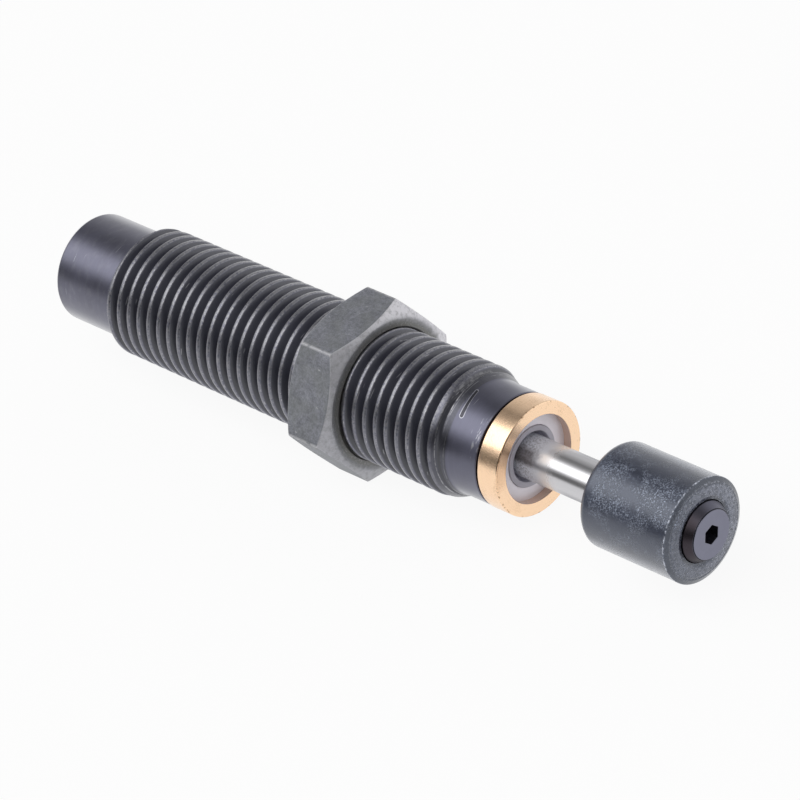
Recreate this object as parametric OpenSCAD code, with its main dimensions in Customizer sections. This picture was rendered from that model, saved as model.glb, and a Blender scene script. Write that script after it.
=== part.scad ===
// Threaded-body industrial shock absorber: self-contained hydraulic damper with return spring,
// hexagon lock nut, stop collar and a rubber-capped piston rod. Millimetres.
// The absorber lies along X. X = 0 is the front face of the stop collar, +X points to the bumper,
// and +Z is square to one flat of the lock nut.

/* [Body] */
// Major diameter of the mounting thread
thread_d = 14; // [13.6:0.1:14.4]
// Length from the rear face to the front face of the stop collar
body_len = 64.2; // [58:0.1:80]
// Diameter of the plain rear end
rear_end_d = 11.8; // [11:0.1:12]
// Length of the plain rear end
rear_end_len = 8.45; // [4:0.05:12]
// Width of the break on the rear rim
rear_rim_chamfer = 0.3; // [0.1:0.05:0.6]
// Size of the chamfer that starts the thread at the rear
thread_chamfer = 0.7; // [0.4:0.1:0.9]
// Diameter of the smooth land behind the stop collar
land_d = 12; // [11.7:0.05:12.2]
// Length of the smooth land
land_len = 4; // [2:0.1:5]
// Angle of the cone that ends the thread at the land
thread_cone_angle = 25; // [15:1:45]
// Step from the land up to the front end of the cone
thread_cone_step = 0.1; // [0.05:0.05:0.6]
// Break on the front rim of the land
land_rim_chamfer = 0.15; // [0.05:0.05:0.3]
// Wall between the land and the bore
land_wall = 1; // [0.8:0.05:1.2]
// Thickness of the closed rear end
end_wall = 6; // [5.5:0.1:8]

/* [Lock nut] */
// Width across the flats
nut_af = 17; // [16.5:0.5:22]
// Thickness of the nut
nut_t = 6; // [4:0.5:9]
// Distance from the stop face back to the front face of the nut
nut_setback = 20.65; // [12:0.05:30]
// Angle of the chamfers on the corners
nut_chamfer_angle = 30; // [15:1:35]
// Chamfer circle as a share of the width across flats
nut_face_share = 0.95; // [0.93:0.01:0.98]
// Radial width of the countersinks at the thread entries
nut_countersink = 0.25; // [0.15:0.05:0.5]
// Radial clearance between the nut and the thread envelope
nut_clearance = 0.05; // [0.02:0.01:0.08]
// Width of the shallow relief that parts the rear thread from the front thread, hidden by the nut
relief_w = 0.8; // [0.7:0.1:1.5]
// Depth of that relief
relief_depth = 0.25; // [0.2:0.05:0.5]

/* [Stop collar] */
// How far the collar stands out past the land
collar_step = 0.05; // [0:0.01:0.15]
// Length of the collar
collar_len = 2.6; // [2:0.1:4]
// Thickness of the lip that holds the gland stack
collar_lip_t = 1; // [0.6:0.1:1.4]
// How far the lip reaches in over the retaining disc
collar_lip_reach = 0.35; // [0.2:0.05:0.6]
// Break on the outer and inner rims of the stop face
collar_break = 0.12; // [0.05:0.01:0.2]
// Open gap between the collar and the body
collar_gap = 0.3; // [0.1:0.05:0.6]
// Wall of the body spigot that carries the collar
spigot_wall = 0.55; // [0.4:0.05:0.65]

/* [Gland] */
// Thickness of the retaining disc
disc_t = 0.9; // [0.6:0.1:1.5]
// Radial width of the wiper neck that shows inside the disc
wiper_neck_w = 1; // [0.7:0.1:1.3]
// How far the wiper neck stands in front of the disc
wiper_proud = 0.15; // [0.05:0.05:0.3]
// Radial width of the wiper's open mouth around the rod
wiper_mouth_w = 0.4; // [0.2:0.05:0.6]
// Depth of that mouth before it narrows to the lip
wiper_mouth_depth = 0.8; // [0.5:0.05:0.9]
// Length of the lip on the rod
wiper_lip_len = 0.3; // [0.2:0.05:0.4]
// Thickness of the wiper flange behind the disc
wiper_flange_t = 1; // [0.6:0.1:1.5]
// Thickness of the washer between wiper and seal
washer_t = 0.8; // [0.5:0.1:1.5]
// Length of the U-cup rod seal
seal_len = 2.8; // [2:0.1:3.6]
// Depth of the pressure groove in the seal
seal_groove_depth = 1.6; // [0.8:0.1:1.8]
// Length of the bearing's flange
bearing_flange_len = 3; // [2.5:0.1:4]
// Wall of the accumulator foam round the bearing's nose
foam_wall = 0.94; // [0.7:0.02:1.1]
// Length of the bearing's nose
bearing_nose_len = 6.5; // [4:0.1:8]
// Length of the pilots that enter the two ends of the pressure tube
pilot_len = 1; // [0.6:0.1:2]
// Cord thickness of the bearing's O-ring
o_ring_w = 1; // [0.8:0.1:1.3]
// Radial room between the accumulator foam and its neighbours
foam_clearance = 0.08; // [0.03:0.01:0.15]

/* [Pressure tube] */
// Oil gap between the pressure tube and the bore of the body
tube_gap = 0.6; // [0.4:0.05:0.8]
// Wall of the pressure tube
tube_wall = 0.8; // [0.6:0.05:0.9]
// Number of metering orifices along the stroke
orifice_count = 6; // [3:1:8]
// Diameter of each metering orifice
orifice_d = 0.6; // [0.4:0.05:0.8]
// Turn from one orifice to the next
orifice_step = 90; // [45:15:180]
// Diameter of the two return ports at the front
port_d = 0.5; // [0.3:0.1:0.6]
// Thickness of the flange on the tube's end cap
cap_flange_t = 1.6; // [1:0.1:2.5]
// Width of the oil slots across that flange
cap_slot_w = 1; // [0.6:0.1:1.6]
// Depth of the oil slots
cap_slot_depth = 0.5; // [0.3:0.1:0.8]

/* [Piston] */
// Diameter of the piston rod
rod_d = 4.5; // [4.3:0.1:4.7]
// Working stroke
stroke = 10; // [6:0.5:14]
// Room between the bearing and the piston at full extension
piston_rest_gap = 0.3; // [0.2:0.05:0.6]
// Radial step down to the rod's two reduced ends
rod_step = 0.75; // [0.6:0.05:0.9]
// Thickness of the front shoulder that the check ring seals on
shoulder_t = 1; // [0.7:0.1:1.5]
// Radial room for oil between that shoulder and the tube
shoulder_room = 0.4; // [0.3:0.05:0.5]
// Width of the floating check ring
ring_w = 1.4; // [1:0.1:2]
// Axial float of the check ring
ring_float = 0.6; // [0.4:0.1:1]
// Radial thickness of the check ring
ring_wall = 0.7; // [0.5:0.05:0.75]
// Radial room for oil between the check ring and the hub that carries it
ring_hub_room = 0.15; // [0.1:0.05:0.2]
// Length of the piston head
head_len = 2.7; // [2:0.1:4]
// Radial room between the head and the tube
head_clearance = 0.1; // [0.05:0.01:0.2]
// Number of return grooves in the head
groove_count = 4; // [2:1:6]
// Width of each return groove
groove_w = 1; // [0.6:0.1:1.2]
// Length of the boss that centres the spring
spring_boss_len = 1; // [0.6:0.1:2]

/* [Return spring] */
// Wire diameter
wire_d = 0.7; // [0.5:0.05:0.8]
// Radial room between the spring and the tube
spring_room = 0.45; // [0.3:0.05:0.5]
// Turns of the spring, closed end turns included
coil_turns = 14; // [10:1:18]

/* [Bumper] */
// Outer diameter of the rubber bumper
bumper_d = 11; // [10.5:0.1:12]
// Length of the bumper
bumper_len = 11.4; // [10:0.1:14]
// Room left between bumper and stop face at full stroke
stop_gap = 0.2; // [0.1:0.05:0.5]
// Radius of the bumper's rear edge
bumper_edge_r = 0.7; // [0.3:0.1:1.2]
// Radial width of the front chamfer
bumper_chamfer_w = 0.65; // [0.3:0.05:1]
// Length of the front chamfer
bumper_chamfer_len = 0.4; // [0.2:0.05:0.8]
// Thickness of rubber behind the button's flange
bumper_back_t = 2.8; // [2:0.1:4]

/* [Strike button] */
// Diameter of the button's face
button_d = 5.3; // [4.9:0.1:5.6]
// How far the button flares out from its face to its neck
button_flare = 0.5; // [0.3:0.05:0.6]
// How far the button stands in front of the bumper
button_proud = 0.9; // [0.5:0.1:1.5]
// Break on the rim of the button's face
button_break = 0.1; // [0.05:0.01:0.2]
// Rubber left outside the flange that is buried in the bumper
bumper_wall = 1.3; // [1:0.1:1.7]
// Thickness of that flange
button_flange_t = 1.6; // [1:0.1:2.4]
// Width across flats of the hexagon socket
socket_af = 1.8; // [1.5:0.1:2.2]
// Depth of the hexagon socket
socket_depth = 1.8; // [1:0.1:2.4]
// Length of the rod end held in the button
rod_stud_len = 4.2; // [3:0.1:5]

/* [Filling plug] */
// Diameter of the filling hole and its plug
plug_d = 4; // [3.5:0.1:5]
// Depth of the filling hole
plug_hole_depth = 4.2; // [4:0.1:5]
// Diameter of the passage from the filling hole to the bore
passage_d = 1.2; // [0.8:0.1:1.5]
// Diameter of the sealing ball
ball_d = 2; // [1.7:0.1:2.1]
// How far the plug lies below the rear face
plug_recess = 0.2; // [0.1:0.05:0.5]
// Width across flats of the plug's socket
plug_socket_af = 2; // [1.5:0.1:2.5]
// Depth of the plug's socket
plug_socket_depth = 1.2; // [0.8:0.1:1.4]

/* [Hidden] */

// Radial room of a fixed fit and of a running fit, and the end room of a loose piece
fixed_fit = 0.03;
running_fit = 0.03;
seat_room = 0.05;
// Radial room of rubber round the rod, and of rubber round the button's neck
rubber_room = 0.15;
// Cutters run past the faces they open by this much
past = 1;
round_faces = 96;

// Radii
thread_r = thread_d / 2;
rear_end_r = rear_end_d / 2;
land_r = land_d / 2;
cone_r = land_r + thread_cone_step;
bore_r = land_r - land_wall;
spigot_r = bore_r + spigot_wall;
collar_r = land_r + collar_step;
collar_hole_r = bore_r - collar_lip_reach;
rod_r = rod_d / 2;
rod_end_r = rod_r - rod_step;
wiper_neck_r = rod_r + wiper_neck_w;
wiper_mouth_r = rod_r + wiper_mouth_w;
nose_r = bore_r - foam_wall - 2 * foam_clearance;
tube_outer_r = bore_r - tube_gap;
tube_r = tube_outer_r - tube_wall;
shoulder_r = tube_r - shoulder_room;
ring_outer_r = tube_r - running_fit;
ring_inner_r = ring_outer_r - ring_wall;
hub_r = ring_inner_r - ring_hub_room;
wire_r = wire_d / 2;
coil_r = tube_r - spring_room - wire_r;
boss_r = coil_r - wire_r - fixed_fit;
button_r = button_d / 2;
bumper_r = bumper_d / 2;
flange_r = bumper_r - bumper_wall;
button_neck_r = button_r + button_flare;
plug_r = plug_d / 2;
ball_r = ball_d / 2;
passage_r = passage_d / 2;

// Stations of the body along X
x_rear = -body_len;
x_thread_back = x_rear + rear_end_len;
x_land_front = -(collar_len + collar_gap);
x_thread_front = x_land_front - land_len;
x_cone_back = x_thread_front - (thread_r - cone_r) / tan(thread_cone_angle);
x_bore_back = x_rear + end_wall;
x_nut_front = -nut_setback;
x_nut_back = x_nut_front - nut_t;

// Stations of the gland stack, from the collar's lip backwards
x_disc_front = -collar_lip_t;
x_disc_back = x_disc_front - disc_t;
x_wiper_back = x_disc_back - wiper_flange_t;
x_washer_back = x_wiper_back - washer_t;
x_seal_back = x_washer_back - seal_len;
x_flange_back = x_seal_back - bearing_flange_len;
x_nose_back = x_flange_back - bearing_nose_len;
x_pilot_back = x_nose_back - pilot_len;

// Stations of the pressure tube and the piston
x_tube_back = x_bore_back + cap_flange_t;
x_cap_front = x_tube_back + pilot_len;
x_shoulder_front = x_pilot_back - piston_rest_gap;
x_shoulder_back = x_shoulder_front - shoulder_t;
x_head_front = x_shoulder_back - ring_w - ring_float;
x_head_back = x_head_front - head_len;
x_boss_back = x_head_back - spring_boss_len;

// Stations of the bumper and the button
x_bumper_back = stroke + stop_gap;
x_bumper_front = x_bumper_back + bumper_len;
x_button_back = x_bumper_back + bumper_back_t;
x_button_front = x_bumper_front + button_proud;

// Stations of the filling hole
x_plug_hole = x_rear + plug_hole_depth;
x_ball = x_plug_hole - sqrt(ball_r * ball_r - passage_r * passage_r) - fixed_fit;
x_plug_front = x_ball - ball_r - fixed_fit;
x_plug_back = x_rear + plug_recess;

// A solid of revolution about the X axis from [radius, x] points
module turned(points) {
    rotate([0, 90, 0])
        rotate_extrude($fn = round_faces)
            polygon(points);
}

// A plain ring between two stations
module ring(outer_r, inner_r, x_back, x_front) {
    turned([[inner_r, x_back], [outer_r, x_back], [outer_r, x_front], [inner_r, x_front]]);
}

// A hexagon bar along +X from a station, with a flat square to Z
module hex_bar(across_flats, x_back, length) {
    translate([x_back, 0, 0])
        rotate([0, 90, 0])
            rotate([0, 0, 30])
                cylinder(h = length, d = across_flats / cos(30), $fn = 6);
}

// Points of a rounded rear edge, from the rear face round to the side
function rear_round(r, x, edge_r, steps = 8) = [
    for (i = [0 : steps])
        let (a = 90 * i / steps)
            [r - edge_r + edge_r * sin(a), x + edge_r - edge_r * cos(a)]
];

// Share of the stroke at which an orifice closes, for an even braking force
function orifice_share(i) = 1 - pow(1 - (i + 0.5) / orifice_count, 2);

module outer_body() {
    color("#2c2e33")
        difference() {
            turned([
                [0, x_rear],
                [rear_end_r - rear_rim_chamfer, x_rear],
                [rear_end_r, x_rear + rear_rim_chamfer],
                [rear_end_r, x_thread_back],
                [thread_r - thread_chamfer, x_thread_back],
                [thread_r, x_thread_back + thread_chamfer],
                [thread_r, x_nut_back],
                [thread_r - relief_depth, x_nut_back],
                [thread_r - relief_depth, x_nut_back + relief_w],
                [thread_r, x_nut_back + relief_w],
                [thread_r, x_cone_back],
                [cone_r, x_thread_front],
                [land_r, x_thread_front],
                [land_r, x_land_front - land_rim_chamfer],
                [land_r - land_rim_chamfer, x_land_front],
                [spigot_r, x_land_front],
                [spigot_r, x_disc_front],
                [0, x_disc_front]
            ]);
            turned([[0, x_bore_back], [bore_r, x_bore_back], [bore_r, past], [0, past]]);
            turned([
                [0, x_rear - past],
                [plug_r, x_rear - past],
                [plug_r, x_plug_hole],
                [passage_r, x_plug_hole],
                [passage_r, x_bore_back + past],
                [0, x_bore_back + past]
            ]);
        }
}

module lock_nut() {
    corner_r = nut_af / 2 / cos(30) + past;
    face_r = nut_af * nut_face_share / 2;
    chamfer_len = (corner_r - face_r) * tan(nut_chamfer_angle);
    hole_r = thread_r + nut_clearance;
    sink_r = hole_r + nut_countersink;
    color("#4b4e52")
        difference() {
            intersection() {
                hex_bar(nut_af, x_nut_back, nut_t);
                turned([
                    [0, x_nut_back],
                    [face_r, x_nut_back],
                    [corner_r, x_nut_back + chamfer_len],
                    [corner_r, x_nut_front - chamfer_len],
                    [face_r, x_nut_front],
                    [0, x_nut_front]
                ]);
            }
            turned([
                [0, x_nut_back - past],
                [sink_r, x_nut_back - past],
                [sink_r, x_nut_back],
                [hole_r, x_nut_back + nut_countersink],
                [hole_r, x_nut_front - nut_countersink],
                [sink_r, x_nut_front],
                [sink_r, x_nut_front + past],
                [0, x_nut_front + past]
            ]);
        }
}

module stop_collar() {
    socket_r = spigot_r + fixed_fit;
    color("#d9a066")
        turned([
            [socket_r, -collar_len],
            [collar_r, -collar_len],
            [collar_r, -collar_break],
            [collar_r - collar_break, 0],
            [collar_hole_r + collar_break, 0],
            [collar_hole_r, -collar_break],
            [collar_hole_r, x_disc_front],
            [socket_r, x_disc_front]
        ]);
}

module retaining_disc() {
    color("#a9a7b4")
        ring(bore_r - fixed_fit, wiper_neck_r + fixed_fit, x_disc_back, x_disc_front);
}

// Scraper with a neck through the disc, a mouth that opens to the front and a lip on the rod
module rod_wiper() {
    lip_r = rod_r + running_fit;
    seat_r = bore_r - fixed_fit;
    x_mouth = x_disc_front + wiper_proud - wiper_mouth_depth;
    x_lip = x_mouth - wiper_mouth_w;
    color("#7c7c88")
        turned([
            [lip_r + rubber_room, x_wiper_back],
            [seat_r, x_wiper_back],
            [seat_r, x_disc_back],
            [wiper_neck_r, x_disc_back],
            [wiper_neck_r, x_disc_front + wiper_proud],
            [wiper_mouth_r, x_disc_front + wiper_proud],
            [wiper_mouth_r, x_mouth],
            [lip_r, x_lip],
            [lip_r, x_lip - wiper_lip_len]
        ]);
}

module seal_washer() {
    color("#8d8f92")
        ring(bore_r - fixed_fit, rod_r + 2 * running_fit, x_washer_back, x_wiper_back);
}

// U-cup with its pressure groove towards the oil
module rod_seal() {
    inner_r = rod_r + running_fit;
    outer_r = bore_r - fixed_fit;
    mid_r = (inner_r + outer_r) / 2;
    groove = (outer_r - inner_r) / 5;
    color("#7a3b2e")
        turned([
            [inner_r, x_seal_back],
            [mid_r - groove, x_seal_back],
            [mid_r, x_seal_back + seal_groove_depth],
            [mid_r + groove, x_seal_back],
            [outer_r, x_seal_back],
            [outer_r, x_washer_back],
            [inner_r, x_washer_back]
        ]);
}

// Guide bush: flange with an O-ring groove, nose inside the accumulator, pilot in the tube
module rod_bearing() {
    inner_r = rod_r + running_fit;
    seat_r = bore_r - fixed_fit;
    groove_r = bore_r - o_ring_w;
    half_groove = o_ring_w / 2 + seat_room;
    x_groove = (x_seal_back + x_flange_back) / 2;
    pilot_r = tube_r - fixed_fit;
    color("#b08d57")
        turned([
            [inner_r, x_pilot_back],
            [pilot_r, x_pilot_back],
            [pilot_r, x_nose_back],
            [nose_r, x_nose_back],
            [nose_r, x_flange_back],
            [seat_r, x_flange_back],
            [seat_r, x_groove - half_groove],
            [groove_r, x_groove - half_groove],
            [groove_r, x_groove + half_groove],
            [seat_r, x_groove + half_groove],
            [seat_r, x_seal_back],
            [inner_r, x_seal_back]
        ]);
}

module bearing_o_ring() {
    x_groove = (x_seal_back + x_flange_back) / 2;
    cord_r = o_ring_w / 2 - fixed_fit;
    color("#1d1d1f")
        translate([x_groove, 0, 0])
            rotate([0, 90, 0])
                rotate_extrude($fn = round_faces)
                    translate([bore_r - o_ring_w / 2, 0])
                        circle(r = cord_r, $fn = 32);
}

// Closed-cell foam sleeve that takes up the oil pushed out by the rod
module foam_accumulator() {
    color("#3a3a3c")
        ring(bore_r - foam_clearance, nose_r + foam_clearance,
            x_nose_back + seat_room, x_flange_back - seat_room);
}

// Metering tube: orifices crowd towards the end of the stroke, so that they close one by one
module pressure_tube() {
    color("#9fa3a8")
        difference() {
            ring(tube_outer_r, tube_r, x_tube_back, x_nose_back);
            for (i = [0 : orifice_count - 1])
                translate([x_head_front - stroke * orifice_share(i), 0, 0])
                    rotate([i * orifice_step, 0, 0])
                        cylinder(h = bore_r, d = orifice_d, $fn = 24);
            translate([(x_shoulder_front + x_shoulder_back) / 2, 0, 0])
                rotate([45, 0, 0])
                    cylinder(h = 2 * bore_r, d = port_d, center = true, $fn = 24);
        }
}

// Closes the rear of the tube and seats the spring. Oil from the filling hole runs along the
// slots and through the rim notches into the space round the tube.
module tube_end_cap() {
    color("#8a8d90")
        difference() {
            turned([
                [0, x_bore_back],
                [bore_r - fixed_fit, x_bore_back],
                [bore_r - fixed_fit, x_tube_back],
                [tube_r - fixed_fit, x_tube_back],
                [tube_r - fixed_fit, x_cap_front],
                [0, x_cap_front]
            ]);
            for (turn = [0 : 90 : 270])
                rotate([turn, 0, 0])
                    translate([x_bore_back - past, -cap_slot_w / 2, 0]) {
                        cube([cap_slot_depth + past, cap_slot_w, bore_r + past]);
                        translate([0, 0, tube_outer_r])
                            cube([cap_flange_t + 2 * past, cap_slot_w, tube_gap + past]);
                    }
        }
}

// Round wire wound between two stations, with both end turns closed
module return_spring() {
    sides = 6;
    steps_per_turn = 14;
    steps = coil_turns * steps_per_turn;
    x_front = x_head_back - seat_room - wire_r;
    x_back = x_cap_front + seat_room + wire_r;
    closed_rise = wire_d * 1.02;
    open_rise = (x_front - x_back - 2 * closed_rise) / (coil_turns - 2);
    function rise(turn) = turn < 1 ? turn * closed_rise
        : turn > coil_turns - 1 ? x_front - x_back - (coil_turns - turn) * closed_rise
        : closed_rise + (turn - 1) * open_rise;
    points = [
        for (i = [0 : steps])
            let (turn = i / steps_per_turn, a = 360 * turn)
                for (j = [0 : sides - 1])
                    let (b = 360 * j / sides, r = coil_r + wire_r * cos(b))
                        [x_back + rise(turn) + wire_r * sin(b), r * cos(a), r * sin(a)]
    ];
    walls = [
        for (i = [0 : steps - 1], j = [0 : sides - 1])
            let (k = (j + 1) % sides)
                [i * sides + j, (i + 1) * sides + j, (i + 1) * sides + k, i * sides + k]
    ];
    first_end = [for (j = [0 : sides - 1]) j];
    last_end = [for (j = [sides - 1 : -1 : 0]) steps * sides + j];
    color("#b9bcc0")
        polyhedron(points, concat(walls, [first_end, last_end]), convexity = 10);
}

// Hard-chromed rod with a stud for the button and a reduced rear end for the piston
module piston_rod() {
    color("#d7d8dc")
        turned([
            [0, x_boss_back],
            [rod_end_r, x_boss_back],
            [rod_end_r, x_shoulder_front],
            [rod_r, x_shoulder_front],
            [rod_r, x_button_back],
            [rod_end_r, x_button_back],
            [rod_end_r, x_button_back + rod_stud_len],
            [0, x_button_back + rod_stud_len]
        ]);
}

module piston_shoulder() {
    color("#8d8f92")
        ring(shoulder_r, rod_end_r + fixed_fit, x_shoulder_back, x_shoulder_front);
}

// Floating ring: seals on the shoulder as the rod goes in, opens the grooves on the way back
module check_ring() {
    color("#5b4636")
        ring(ring_outer_r, ring_inner_r, x_head_front, x_head_front + ring_w);
}

module piston_head() {
    head_r = tube_r - head_clearance;
    hole_r = rod_end_r + fixed_fit;
    color("#a5a8ad")
        difference() {
            turned([
                [hole_r, x_boss_back],
                [boss_r, x_boss_back],
                [boss_r, x_head_back],
                [head_r, x_head_back],
                [head_r, x_head_front],
                [hub_r, x_head_front],
                [hub_r, x_shoulder_back],
                [hole_r, x_shoulder_back]
            ]);
            for (i = [0 : groove_count - 1])
                rotate([i * 360 / groove_count, 0, 0])
                    translate([x_head_back - past, -groove_w / 2, hub_r])
                        cube([head_len + 2 * past, groove_w, head_r - hub_r + past]);
        }
}

// Rubber cap held by the button's flange, open round the button's neck at the front
module bumper() {
    pocket_r = flange_r + fixed_fit;
    x_pocket_front = x_button_back + button_flange_t + fixed_fit;
    mouth_r = button_neck_r + rubber_room;
    color("#2f3440")
        turned(concat(
            [[rod_r + rubber_room, x_bumper_back]],
            rear_round(bumper_r, x_bumper_back, bumper_edge_r),
            [
                [bumper_r, x_bumper_front - bumper_chamfer_len],
                [bumper_r - bumper_chamfer_w, x_bumper_front],
                [mouth_r, x_bumper_front],
                [mouth_r, x_pocket_front],
                [pocket_r, x_pocket_front],
                [pocket_r, x_button_back - fixed_fit],
                [rod_r + rubber_room, x_button_back - fixed_fit]
            ]
        ));
}

module strike_button() {
    hole_r = rod_end_r + fixed_fit;
    x_flange_front = x_button_back + button_flange_t;
    x_hole = x_button_back + rod_stud_len + fixed_fit;
    color("#26272b")
        difference() {
            turned([
                [hole_r, x_button_back],
                [flange_r, x_button_back],
                [flange_r, x_flange_front],
                [button_neck_r, x_flange_front],
                [button_neck_r, x_bumper_front],
                [button_r, x_button_front - button_break],
                [button_r - button_break, x_button_front],
                [0, x_button_front],
                [0, x_hole],
                [hole_r, x_hole]
            ]);
            hex_bar(socket_af, x_button_front - socket_depth, socket_depth + past);
        }
}

module fill_ball() {
    color("#c4c6ca")
        translate([x_ball, 0, 0])
            sphere(r = ball_r, $fn = round_faces);
}

module fill_plug() {
    color("#2a2b2e")
        difference() {
            ring(plug_r - fixed_fit, 0, x_plug_back, x_plug_front);
            hex_bar(plug_socket_af, x_plug_back - past, plug_socket_depth + past);
        }
}

outer_body();
lock_nut();
stop_collar();
retaining_disc();
rod_wiper();
seal_washer();
rod_seal();
rod_bearing();
bearing_o_ring();
foam_accumulator();
pressure_tube();
tube_end_cap();
return_spring();
piston_rod();
piston_shoulder();
check_ring();
piston_head();
bumper();
strike_button();
fill_ball();
fill_plug();
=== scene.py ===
"""Looks for the industrial shock absorber: threads, rounded edges, finishes, light and camera.

Lengths in this file are in millimetres along the CAD frame (X is the rod's axis, X = 0 the stop
face), and are turned into metres when a mesh is made.
"""
import math

import bmesh
import bpy
import numpy as np
from mathutils import Matrix, Vector


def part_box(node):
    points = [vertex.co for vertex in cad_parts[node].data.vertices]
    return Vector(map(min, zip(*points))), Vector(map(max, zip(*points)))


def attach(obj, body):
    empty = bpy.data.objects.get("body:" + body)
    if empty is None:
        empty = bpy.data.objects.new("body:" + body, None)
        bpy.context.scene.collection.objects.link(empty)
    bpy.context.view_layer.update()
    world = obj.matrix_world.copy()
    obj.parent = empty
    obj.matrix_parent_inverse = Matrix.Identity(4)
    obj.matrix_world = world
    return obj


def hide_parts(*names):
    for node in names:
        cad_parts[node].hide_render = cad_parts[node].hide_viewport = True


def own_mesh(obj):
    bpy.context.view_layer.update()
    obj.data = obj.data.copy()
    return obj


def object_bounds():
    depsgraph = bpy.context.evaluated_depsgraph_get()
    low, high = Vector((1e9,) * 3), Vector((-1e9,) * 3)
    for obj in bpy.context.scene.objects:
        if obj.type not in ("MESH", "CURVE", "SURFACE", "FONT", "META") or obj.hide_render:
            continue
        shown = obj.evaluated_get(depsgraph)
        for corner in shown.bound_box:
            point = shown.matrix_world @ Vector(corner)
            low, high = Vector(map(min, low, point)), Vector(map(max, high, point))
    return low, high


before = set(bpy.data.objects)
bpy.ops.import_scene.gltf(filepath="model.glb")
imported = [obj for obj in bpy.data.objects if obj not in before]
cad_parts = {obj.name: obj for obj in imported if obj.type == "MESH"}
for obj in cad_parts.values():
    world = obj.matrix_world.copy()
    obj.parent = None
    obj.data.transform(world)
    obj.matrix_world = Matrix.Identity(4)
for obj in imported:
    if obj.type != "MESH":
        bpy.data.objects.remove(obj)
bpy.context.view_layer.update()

MM = 0.001
WELD = 2e-7
SHARP_ANGLE = math.radians(38)


# ---------------------------------------------------------------------------------- sizes

def span(node):
    """Lowest x, highest x and outer radius of a CAD node, in millimetres."""
    low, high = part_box(node)
    return low.x / MM, high.x / MM, high.z / MM


BODY_BACK, BODY_FRONT, THREAD_R = span("outer_body")
NUT_BACK, NUT_FRONT, NUT_FLAT_R = span("lock_nut")
COLLAR_BACK, COLLAR_FRONT, COLLAR_R = span("stop_collar")
DISC_BACK, DISC_FRONT, DISC_R = span("retaining_disc")
WIPER_BACK, WIPER_FRONT, WIPER_SEAT_R = span("rod_wiper")
ROD_BACK, ROD_FRONT, ROD_R = span("piston_rod")
BUMPER_BACK, BUMPER_FRONT, BUMPER_R = span("bumper")
BUTTON_BACK, BUTTON_FRONT, BUTTON_FLANGE_R = span("strike_button")
PLUG_BACK, PLUG_FRONT, PLUG_R = span("fill_plug")
SPRING_BACK, SPRING_FRONT, SPRING_R = span("return_spring")
BUSH_BACK = span("rod_bearing")[0]

# Body
REAR_END_R = 5.9
REAR_END_LEN = 8.45
UNDERCUT_WIDTH = 0.3
UNDERCUT_DEPTH = 0.15
RIM_R = 6.4
RIM_WIDTH = 0.22
LAND_R = 6.0
LAND_LEN = 4.0
COLLAR_GAP = 0.3
CONE_STEP = 0.1
CONE_SLOPE = math.tan(math.radians(25))
THREAD_CHAMFER = 0.7
BORE_R = 5.0
SPIGOT_R = 5.55
END_WALL = 6.0
PLUG_HOLE_R = 2.0
PLUG_HOLE_DEPTH = 4.2
PASSAGE_R = 0.6
THREAD_BACK = BODY_BACK + REAR_END_LEN
LAND_FRONT = COLLAR_BACK - COLLAR_GAP
THREAD_FRONT = LAND_FRONT - LAND_LEN

# Thread, M14 x 1.5 right-hand
PITCH = 1.5
THREAD_DEPTH = 0.6134 * PITCH
CREST_HALF = 0.19
FLANK_SLOPE = math.tan(math.radians(60))
# Place of a crest at the angle zero, that is on the +Y side
CREST_AT_ZERO = -55.53
THREAD_PLAY = 0.05
# Height and width of the ease at the crest's edges and in the root
CREST_EASE = (0.035, 0.05)
ROOT_EASE = (0.04, 0.12)

# Nut
NUT_FACE_R = 8.075
NUT_CHAMFER_SLOPE = math.tan(math.radians(30))
NUT_CORNER_ROUND = 0.22
NUT_SINK_R = 7.14
NUT_SINK_SLOPE = 3.0

# Wiper and disc
WIPER_NECK_R = 3.25
WIPER_MOUTH_R = 2.65
WIPER_LIP_R = 2.28
WIPER_MOUTH_DEPTH = 0.8
WIPER_LIP_LEN = 0.3
DISC_HOLE_R = 3.28

# Collar
COLLAR_SOCKET_R = 5.58
COLLAR_HOLE_R = 4.65

# Bumper and button
BUMPER_MOUTH_R = 3.3
BUMPER_LIP_R = 3.23
BUTTON_NECK_R = 3.15
BUTTON_R = 2.65
BUTTON_FLANGE_T = 1.6
SOCKET_AF = 1.8
SOCKET_DEPTH = 1.8
ROD_STUD_R = 1.5
SOCKET_TURN = 11.25
# Room between the guide bush and the piston, where the rod's thick part ends
REST_GAP = 0.3
# Clearance of the rod in the rubber, and of pieces that are held fast in one another
RUBBER_ROOM = 0.15
FIXED_FIT = 0.03
# Moulding flash round the bumper, set back from its front
FLASH_X = BUMPER_FRONT - 0.42

# Filling plug
PLUG_RIM_R = 1.5
PLUG_SOCKET_AF = 2.0
PLUG_SOCKET_DEPTH = 1.2

# Spring: its wire's radius and its number of turns
WIRE_R = 0.35
SPRING_TURNS = 14

# Mark that the threading tool left on the land: angles, places along the rod, half width
SCAR_TURN = (87, 121)
SCAR_X = (-6.75, -6.3)
SCAR_HALF = 0.30

# Moulding gate on the bumper's front: its centre's radius and angle, and its own radius
GATE_R = 4.5
GATE_TURN = -42
GATE_SPAN = 0.85

# Brightness of the studio round the X axis: degrees from the +Y side over the top, and level
STUDIO = [
    (0, 0.78), (30, 0.66), (52, 0.44), (68, 0.20), (82, 0.34), (98, 0.95), (142, 0.88),
    (151, 0.40), (159, 0.15), (170, 0.15), (180, 0.45), (196, 1.0), (344, 1.0),
]
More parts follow.
